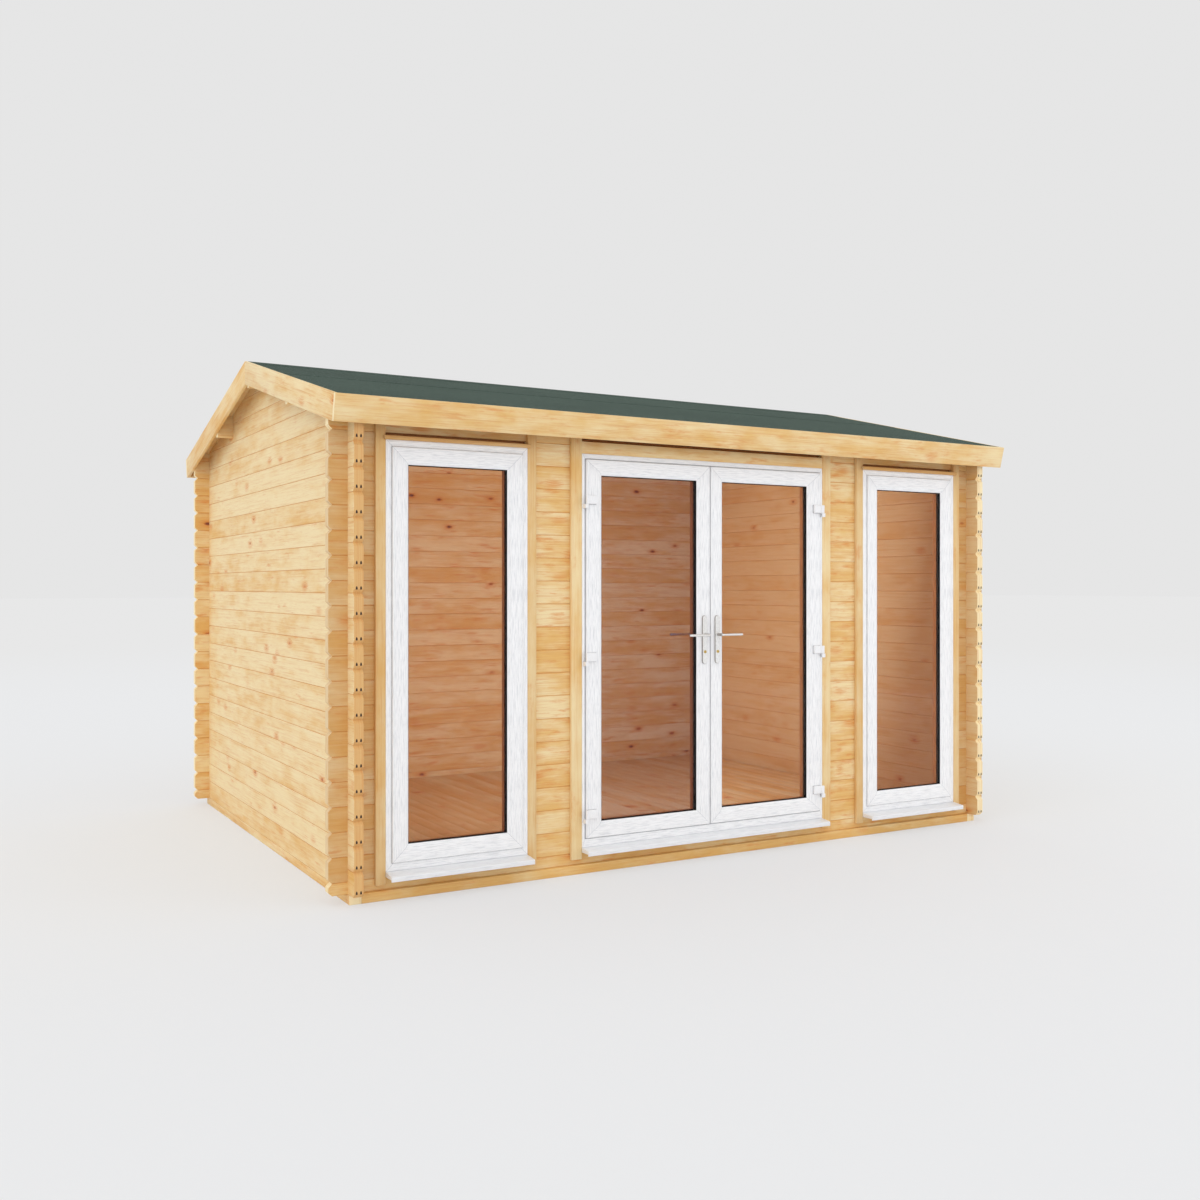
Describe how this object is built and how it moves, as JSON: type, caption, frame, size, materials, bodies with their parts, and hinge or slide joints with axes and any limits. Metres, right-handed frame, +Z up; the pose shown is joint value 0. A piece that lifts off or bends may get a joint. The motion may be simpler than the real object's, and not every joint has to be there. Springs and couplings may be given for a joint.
{
  "type": "log cabin",
  "caption": "Log cabin: interlocking corner logs, low gable roof on purlins, glazed double doors that open outwards and two tall fixed windows.",
  "frame": {"origin": "centre of the roof's footprint, on the ground under the bearers", "axes": "+X along the front wall to the right of someone facing the doors, +Y to the back, +Z up; the doors are at -Y"},
  "size_m": [4.178, 3.24, 2.6859],
  "materials": {
    "bearer_timber": "planed softwood",
    "floor_timber": "planed softwood boards",
    "log_timber": "planed pine logs, untreated",
    "roof_timber": "planed pine boards",
    "felt": "green mineral roofing felt, matt",
    "eaves_timber": "planed pine boards",
    "trim_timber": "planed pine strips",
    "white_frame": "white, lightly embossed grain",
    "glazing": "clear sealed unit, lightly tinted",
    "hinge_white": "white powder coat",
    "satin_metal": "satin chrome"
  },
  "bodies": {
    "root": {"foundation_front": "bearer_timber", "foundation_back": "bearer_timber", "foundation_left": "bearer_timber", "foundation_right": "bearer_timber", "floor_joists": "bearer_timber", "floor_boards": "floor_timber", "left_wall": "log_timber", "right_wall": "log_timber", "back_wall": "log_timber", "front_wall_base": "log_timber", "front_wall_top": "log_timber", "pier_left_outer": "log_timber", "pier_left_inner": "log_timber", "pier_right_inner": "log_timber", "pier_right_outer": "log_timber", "ridge_purlin": "roof_timber", "front_purlin": "roof_timber", "back_purlin": "roof_timber", "roof_boards_front": "roof_timber", "roof_boards_back": "roof_timber", "roof_felt_front": "felt", "roof_felt_back": "felt", "fascia_front": "eaves_timber", "fascia_back": "eaves_timber", "bargeboard_left_front": "eaves_timber", "bargeboard_left_back": "eaves_timber", "bargeboard_right_front": "eaves_timber", "bargeboard_right_back": "eaves_timber", "left_window_frame": "white_frame", "right_window_frame": "white_frame", "left_window_sash": "white_frame", "right_window_sash": "white_frame", "left_window_glass": "glazing", "right_window_glass": "glazing", "window_sills": "white_frame", "window_side_trims": "trim_timber", "window_head_trims": "trim_timber", "door_frame": "white_frame", "door_sill": "white_frame", "door_side_trims": "trim_timber", "door_head_trim": "trim_timber", "frame_hinges": "hinge_white"},
    "left_door": {"left_door": "white_frame", "left_door_glass": "glazing", "left_door_hinges": "hinge_white", "left_handle_plates": "satin_metal"},
    "right_door": {"right_door": "white_frame", "right_door_glass": "glazing", "right_door_hinges": "hinge_white", "right_handle_plates": "satin_metal"},
    "left_lever": {"left_lever": "satin_metal"},
    "right_lever": {"right_lever": "satin_metal"}
  },
  "joints": [
    {"name": "left_door_swing", "type": "hinge", "parent": "root", "child": "left_door", "pos_m": [-0.7615, -1.504, 1.127], "axis": [0, 0, -1], "range_deg": [0, 90]},
    {"name": "right_door_swing", "type": "hinge", "parent": "root", "child": "right_door", "pos_m": [0.7615, -1.504, 1.127], "axis": [0, 0, 1], "range_deg": [0, 90]},
    {"name": "left_lever_turn", "type": "hinge", "parent": "left_door", "child": "left_lever", "pos_m": [-0.041, -1.45, 1.183], "axis": [0, -1, 0], "range_deg": [0, 40], "stiffness_Nm_per_rad": 1.5, "springref_deg": -28.65},
    {"name": "right_lever_turn", "type": "hinge", "parent": "right_door", "child": "right_lever", "pos_m": [0.041, -1.45, 1.183], "axis": [0, 1, 0], "range_deg": [0, 40], "stiffness_Nm_per_rad": 1.5, "springref_deg": -28.65}
  ]
}
